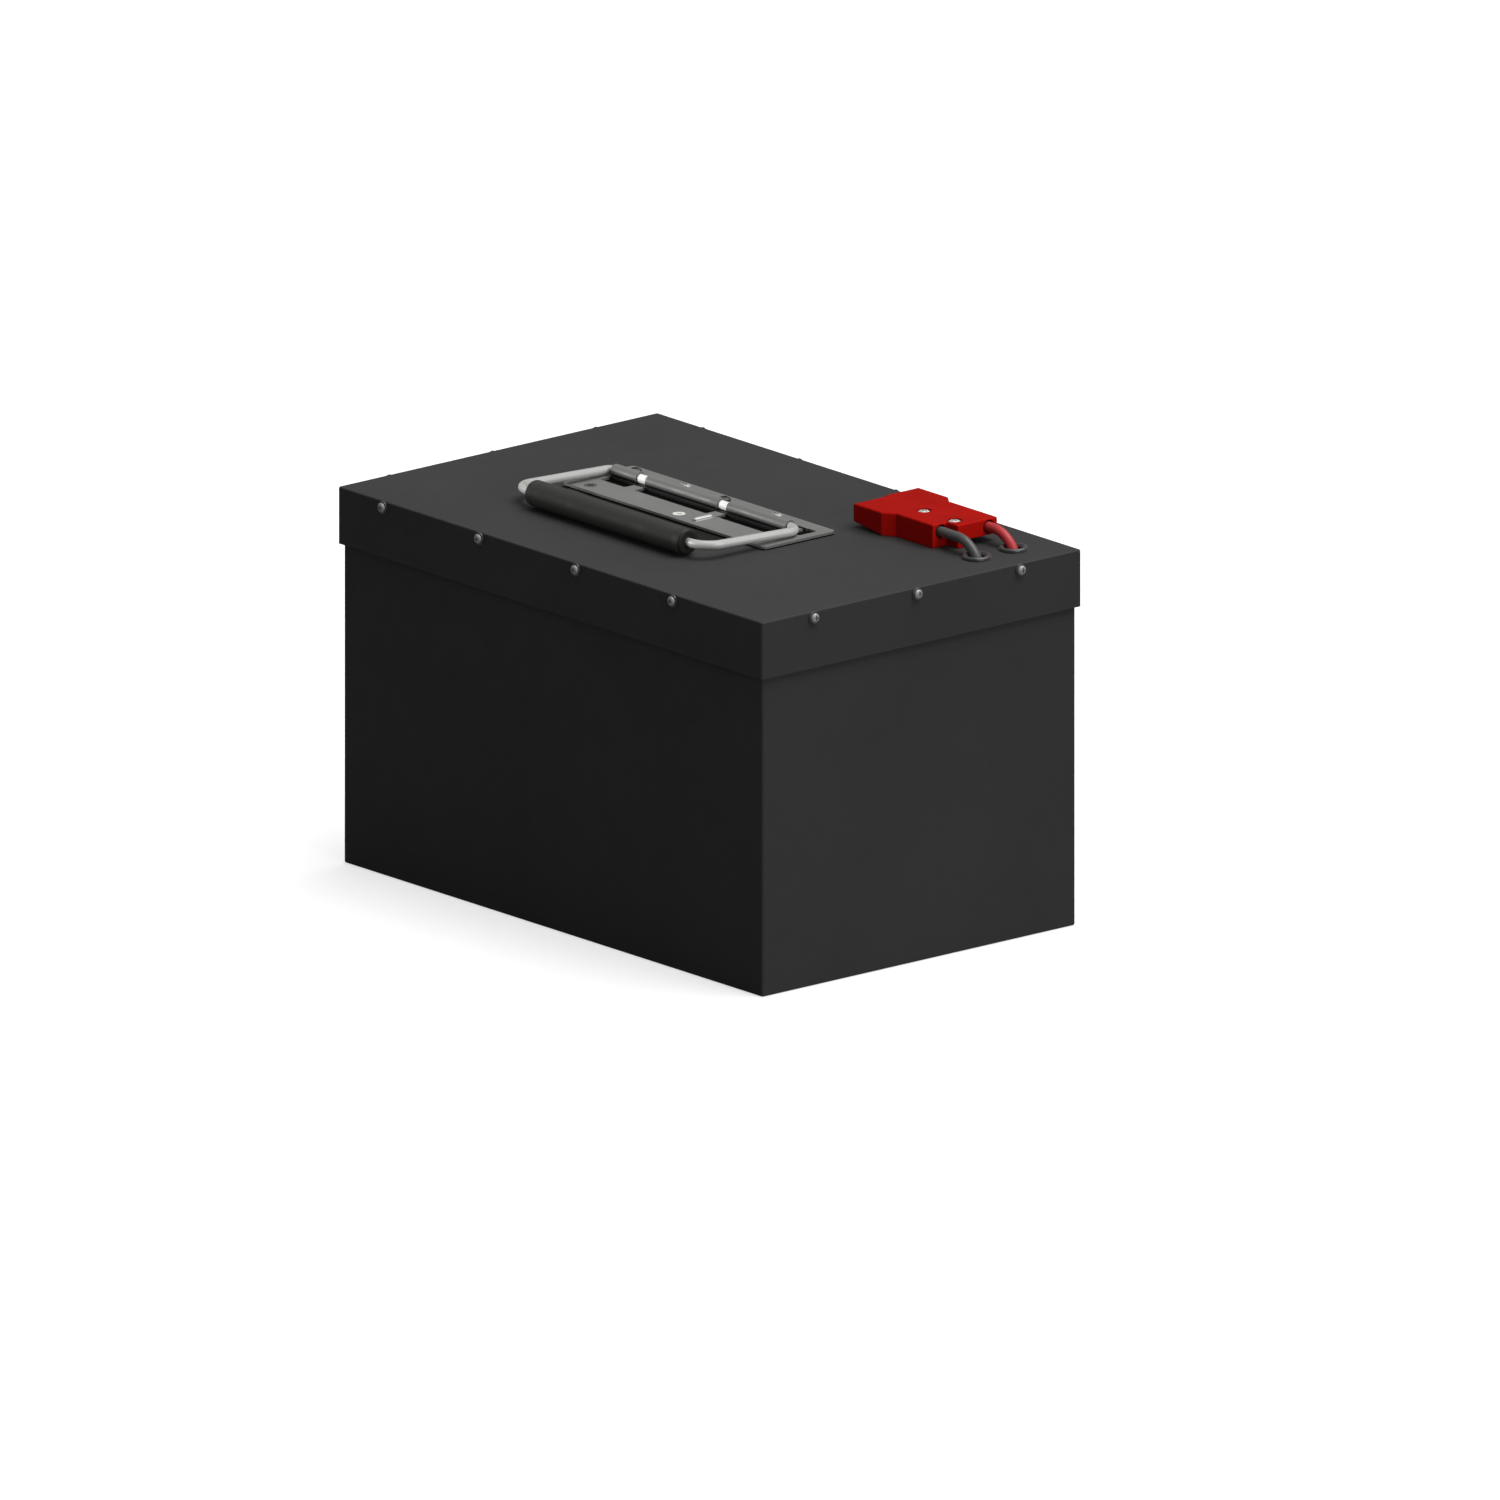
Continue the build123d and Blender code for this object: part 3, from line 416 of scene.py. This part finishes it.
# ---------------------------------------------------------------- pieces that the solids leave plain
def piece(name, points, faces, body, finish, *stands_for):
    """A new mesh on a CAD body, in metres in the row frame."""
    mesh = bpy.data.meshes.new(name)
    mesh.from_pydata([tuple(v * MM for v in p) for p in points], [], faces)
    mesh.validate()
    work = bmesh.new()
    work.from_mesh(mesh)
    bmesh.ops.recalc_face_normals(work, faces=work.faces)
    work.to_mesh(mesh)
    work.free()
    mesh.shade_smooth()
    mesh.set_sharp_from_angle(angle=math.radians(50))
    obj = bpy.data.objects.new(name, mesh)
    bpy.context.scene.collection.objects.link(obj)
    mesh.materials.append(finishes[finish])
    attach(obj, body)
    if stands_for:
        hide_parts(*stands_for)
    return obj


def lathe(profile, turns, place):
    """Points and faces of a closed (along, radius) profile turned round an axis. place gives each point."""
    points, faces = [], []
    for along, radius in profile:
        for n in range(turns):
            points.append(place(along, radius, 2 * math.pi * n / turns))
    rings = len(profile)
    for r in range(rings):
        for n in range(turns):
            a, b = r * turns, ((r + 1) % rings) * turns
            m = (n + 1) % turns
            faces.append((a + n, a + m, b + m, b + n))
    return points, faces


def arc(centre, radius, start, end, steps):
    """Points (along, radius) on an arc, angles in degrees."""
    out = []
    for n in range(steps + 1):
        t = math.radians(start + (end - start) * n / steps)
        out.append((centre[0] + radius * math.cos(t), centre[1] + radius * math.sin(t)))
    return out


# Grip: moulded tube with rounded ends, a shallow collar groove near each end, and two parting lines.
GRIP_LEFT, GRIP_RIGHT, GRIP_BORE = -88.2, 57.6, 2.83
GRIP_Y, GRIP_Z = -65.5, 247.0
GRIP_R = 8.27
PARTING = 0.12
GRIP_SKIN = GRIP_R - PARTING
GROOVE_R = GRIP_R - 0.2
LEAD_IN, END_ROUND, COLLAR = 0.6, 1.6, 7


def groove(at):
    return [(at - 0.7, GRIP_SKIN), (at - 0.4, GROOVE_R), (at + 0.4, GROOVE_R), (at + 0.7, GRIP_SKIN)]


grip_outline = [(GRIP_LEFT + LEAD_IN, GRIP_BORE), (GRIP_LEFT, GRIP_BORE + LEAD_IN)]
grip_outline += arc((GRIP_LEFT + END_ROUND, GRIP_SKIN - END_ROUND), END_ROUND, 180, 90, 6)
grip_outline += groove(GRIP_LEFT + COLLAR)
grip_outline += [(x, GRIP_SKIN) for x in range(-75, 45, 10)]
grip_outline += groove(GRIP_RIGHT - COLLAR)
grip_outline += arc((GRIP_RIGHT - END_ROUND, GRIP_SKIN - END_ROUND), END_ROUND, 90, 0, 6)
grip_outline += [(GRIP_RIGHT, GRIP_BORE + LEAD_IN), (GRIP_RIGHT - LEAD_IN, GRIP_BORE)]


def grip_point(along, radius, angle):
    """The parting lines stand proud of the skin, on the top and on the underside."""
    if radius > GROOVE_R and abs(math.cos(angle)) < 0.03:
        radius += PARTING
    return (along, GRIP_Y + radius * math.cos(angle), GRIP_Z + radius * math.sin(angle))


grip = piece("grip_moulding", *lathe(grip_outline, 120, grip_point), "handle", "grip_plastic", "handle_grip")
# Its right end is darker where it meets the rod, as painted shade.
toned(finishes["grip_plastic"], (0.008, 0.008, 0.007), {"X": (GRIP_RIGHT - 1.3, GRIP_RIGHT + 1)})

# Stop rib: a rounded bead on the plate, across its length.
RIB_X, RIB_Y, RIB_Z = 6, -10.5, 240.35
RIB_HALF_WIDTH, RIB_HEIGHT, RIB_STEP = 2.3, 2.1, 1.33
HALF, ROUND = 6, 9  # sections on each side of the middle one, points in a section
rib_points, rib_faces = [], []
for section in range(-HALF, HALF + 1):
    y = RIB_Y + section * RIB_STEP
    taper = math.sqrt(max(0.0, 1 - (section / HALF) ** 8))
    for n in range(ROUND):
        t = math.pi * n / (ROUND - 1)
        x, z = RIB_HALF_WIDTH * taper * math.cos(t), RIB_HEIGHT * taper * math.sin(t)
        rib_points.append((RIB_X + x, y, RIB_Z + z))
for section in range(2 * HALF):
    first, after = section * ROUND, (section + 1) * ROUND
    for n in range(ROUND - 1):
        rib_faces.append((first + n, first + n + 1, after + n + 1, after + n))
    rib_faces.append((first, after, after + ROUND - 1, after - 1))
rib_faces.append(tuple(range(ROUND)))
rib_faces.append(tuple(range(2 * HALF * ROUND, (2 * HALF + 1) * ROUND)))
piece("stop_rib_bead", rib_points, rib_faces, "pack", "bright_steel")


# ---------------------------------------------------------------- floor, light and camera
azimuth, elevation = math.radians(49.76), math.radians(15.84)
level = math.cos(elevation)
right = Vector((math.cos(azimuth), math.sin(azimuth), 0))
back = Vector((math.sin(azimuth) * level, -math.cos(azimuth) * level, math.sin(elevation)))
up = back.cross(right)
VIEW_SIZE, VIEW_DISTANCE = 0.91408, 3
aim = right * 0.02459 + up * 0.08750

scene = bpy.context.scene
camera = bpy.data.objects.new("camera", bpy.data.cameras.new("camera"))
camera.data.type = "ORTHO"
camera.data.ortho_scale = VIEW_SIZE
camera.data.clip_end = 20
camera.location = aim + back * VIEW_DISTANCE
camera.rotation_euler = back.to_track_quat("Z", "Y").to_euler()
scene.collection.objects.link(camera)
scene.camera = camera

REACH = 30
corners = [(-REACH, -REACH, 0), (REACH, -REACH, 0), (REACH, REACH, 0), (-REACH, REACH, 0)]
floor_mesh = bpy.data.meshes.new("floor")
floor_mesh.from_pydata(corners, [], [(0, 1, 2, 3)])
floor = bpy.data.objects.new("floor", floor_mesh)
floor.location.z = -0.0004
scene.collection.objects.link(floor)
paper = Finish("floor_paper")
pale = paper.mix(paper.noise(0.8, 3), (0.49, 0.49, 0.49), (0.51, 0.51, 0.51))
# To the camera the floor is white paper that shines a little. As a reflector it is greyer, so the case
# stays black.
direct = paper.add("ShaderNodeLightPath").outputs["Is Camera Ray"]
paper.set(Base_Color=paper.mix(direct, (0.16, 0.16, 0.16), pale), Roughness=0.9, Specular_IOR_Level=0.1)
paper.set(Emission_Color=(1, 1, 1, 1), Emission_Strength=paper.math("MULTIPLY", direct, 0.6))
floor_mesh.materials.append(paper.material)

world = bpy.data.worlds.new("studio")
world.use_nodes = True
scene.world = world
sky = world.node_tree
height = sky.nodes.new("ShaderNodeSeparateXYZ")
ramp = sky.nodes.new("ShaderNodeValToRGB")
sky.links.new(sky.nodes.new("ShaderNodeTexCoord").outputs["Generated"], height.inputs["Vector"])
sky.links.new(height.outputs["Z"], ramp.inputs["Fac"])
ramp.color_ramp.elements[0].color = (0.12, 0.12, 0.12, 1)
ramp.color_ramp.elements[1].color = (0.4, 0.4, 0.4, 1)
# The camera sees white wherever it looks past or under the floor.
backdrop = sky.nodes.new("ShaderNodeMix")
backdrop.data_type = "RGBA"
sky.links.new(sky.nodes.new("ShaderNodeLightPath").outputs["Is Camera Ray"], backdrop.inputs["Factor"])
lighting, seen = [s for s in backdrop.inputs if s.type == "RGBA"]
sky.links.new(ramp.outputs["Color"], lighting)
seen.default_value = (1, 1, 1, 1)
mixed = next(s for s in backdrop.outputs if s.type == "RGBA")
sky.links.new(mixed, sky.nodes["Background"].inputs["Color"])


def softbox(name, place, target, width, depth, power):
    light = bpy.data.objects.new(name, bpy.data.lights.new(name, "AREA"))
    light.data.shape = "RECTANGLE"
    light.data.size, light.data.size_y = width, depth
    light.data.energy = power
    light.location = place
    light.rotation_euler = (Vector(place) - Vector(target)).to_track_quat("Z", "Y").to_euler()
    scene.collection.objects.link(light)
    return light


def accent(name, place, target, size, power, *lit):
    """A small softbox for a few pieces only, as a reflector card held close to them would be."""
    light = softbox(name, place, target, size, size, power)
    group = bpy.data.collections.new(name + "_lights")
    for obj in lit:
        group.objects.link(obj)
    light.light_linking.receiver_collection = group


softbox("key", (2.6, -0.1, 0.9), (0, 0, 0.15), 1.6, 1.2, 22)
HANDLE = (0, 0, 0.245)
bail, plate, housing = nodes["handle_bail"], nodes["handle_plate"], nodes["connector_housing"]
accent("legs_card", (1.75, 0.75, 0.95), HANDLE, 0.7, 38, bail)
accent("rod_card", (-0.9, -1.7, 0.9), HANDLE, 0.7, 66, bail)
accent("knuckles_card", (-1.47, -1.31, 0.6), HANDLE, 0.7, 22, plate)
accent("grip_card", (-1.47, -1.31, 0.6), HANDLE, 0.7, 10, grip)
accent("connector_card", (2.0, 0.0, 0.5), (0.1, 0.08, 0.245), 0.7, 8, housing)

overhead = bpy.data.objects.new("overhead", bpy.data.lights.new("overhead", "SUN"))
overhead.data.energy = 3.35
overhead.data.angle = math.radians(55)
overhead.rotation_euler = Vector((0.22, 0.3, 1)).to_track_quat("Z", "Y").to_euler()
scene.collection.objects.link(overhead)

scene.view_settings.view_transform = "Standard"
scene.view_settings.look = "None"
